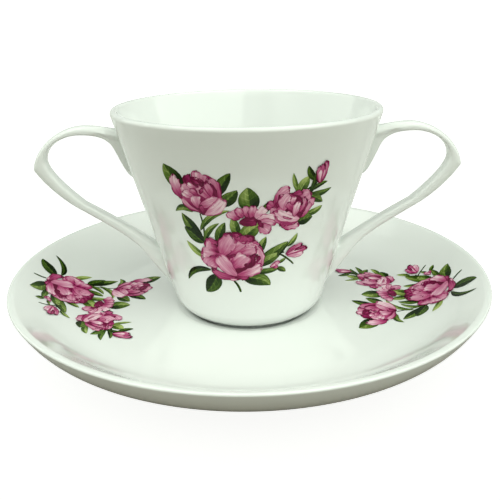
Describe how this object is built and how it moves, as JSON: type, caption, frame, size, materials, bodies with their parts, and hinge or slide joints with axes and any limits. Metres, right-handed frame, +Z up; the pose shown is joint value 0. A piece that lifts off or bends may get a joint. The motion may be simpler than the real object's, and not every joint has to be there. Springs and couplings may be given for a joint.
{
  "type": "two-handled cup and saucer",
  "caption": "Conical porcelain drinking cup with a looped ear handle on either side, standing loose in the well of a round coupe saucer.",
  "frame": {"origin": "on the table, under the middle of the saucer's foot ring", "axes": "+Z up along the axis of the cup and the saucer, X through both handles, -Y towards the printed front of the cup"},
  "size_m": [0.16, 0.16, 0.0747],
  "materials": {
    "glazed_porcelain": "glossy white glaze with a faint green cast",
    "rose_print": "fired rose pink print under the gloss of the glaze",
    "leaf_print": "fired leaf green print under the gloss of the glaze"
  },
  "bodies": {
    "saucer": {"saucer": "glazed_porcelain"},
    "cup": {"cup_bowl": "glazed_porcelain", "handle_right": "glazed_porcelain", "handle_left": "glazed_porcelain"}
  },
  "joints": [
    {"name": "cup_lift", "type": "slide", "parent": "saucer", "child": "cup", "axis": [0, 0, 1], "range_m": [0, 0.1]}
  ]
}
